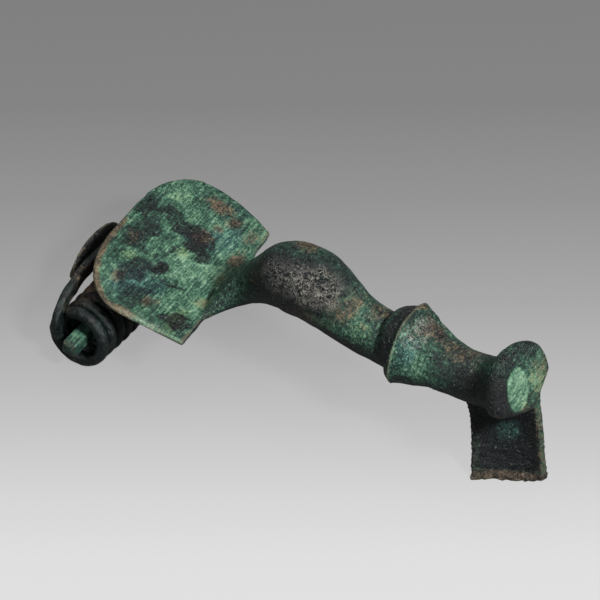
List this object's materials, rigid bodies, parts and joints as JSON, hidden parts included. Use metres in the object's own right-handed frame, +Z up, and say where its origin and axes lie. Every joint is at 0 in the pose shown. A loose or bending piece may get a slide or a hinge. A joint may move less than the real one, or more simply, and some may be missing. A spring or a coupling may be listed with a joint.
{
  "type": "roman fibula brooch",
  "caption": "Cast bronze bow brooch with a fan-shaped head plate, humped bow, half-round collar, knobbed foot, tall catch plate and a two-sided coil spring on a rod; its pin is lost.",
  "frame": {"origin": "under the middle of the brooch, on the level of the spring's underside and the catch plate's lower edge", "axes": "+X from the head plate to the knob of the foot, +Y towards the far end of the spring, +Z up from the pin's line to the bow"},
  "size_m": [0.0662, 0.0312, 0.0223],
  "materials": {
    "cast_bronze": "mottled green, blue-black and brown patina",
    "wire_bronze": "dark green patina",
    "rod_bronze": "pale green patina"
  },
  "bodies": {
    "root": {"cast_bow": "cast_bronze", "spring_wire": "wire_bronze", "axis_rod": "rod_bronze"}
  },
  "joints": []
}
